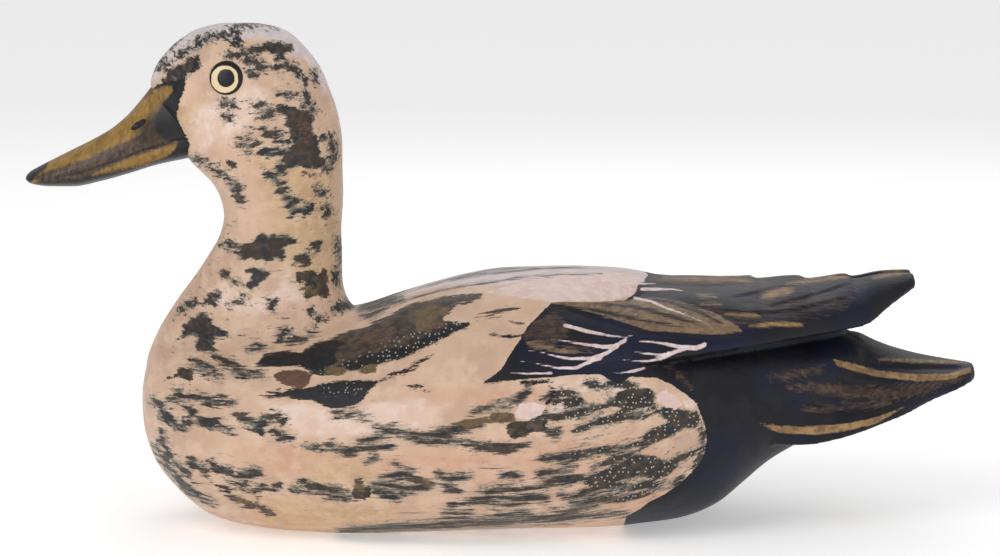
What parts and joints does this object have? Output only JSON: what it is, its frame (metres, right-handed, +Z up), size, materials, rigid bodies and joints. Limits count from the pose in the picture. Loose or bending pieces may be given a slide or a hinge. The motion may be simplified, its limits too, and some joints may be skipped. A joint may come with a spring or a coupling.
{
  "type": "floating duck decoy",
  "caption": "Hollow carved wooden duck with distressed paint, set-on head and bill, a flat weighted bottom board and a swinging ring for an anchor line.",
  "frame": {"origin": "middle of the whole length and width, on the flat underside it stands on", "axes": "-X is the way the duck faces, +Z is up, and -Y is the duck's left side"},
  "size_m": [0.4, 0.153, 0.2101],
  "materials": {
    "body_paint": "worn satin paint",
    "bill_paint": "worn satin paint",
    "eye_paint": "gloss paint",
    "bare_wood": "bare",
    "screw_steel": "dull",
    "brass_hardware": "tarnished",
    "ballast_iron": "dull dark"
  },
  "bodies": {
    "decoy": {"body_shell": "body_paint", "bottom_board": "body_paint", "head_and_neck": "body_paint", "bill": "bill_paint", "bill_dowel": "bare_wood", "left_eye": "eye_paint", "right_eye": "eye_paint", "neck_screw": "screw_steel", "neck_washer": "screw_steel", "neck_dowels": "bare_wood", "bottom_screws": "brass_hardware", "screw_plugs": "body_paint", "ballast_weight": "ballast_iron", "ballast_screws": "brass_hardware", "line_tie_staple": "brass_hardware"},
    "line_ring": {"line_tie_ring": "brass_hardware"}
  },
  "joints": [
    {"name": "line_ring_swing", "type": "hinge", "parent": "decoy", "child": "line_ring", "pos_m": [-0.084, 0, 0.0128], "axis": [0, 1, 0], "range_deg": [-60, 60]}
  ]
}
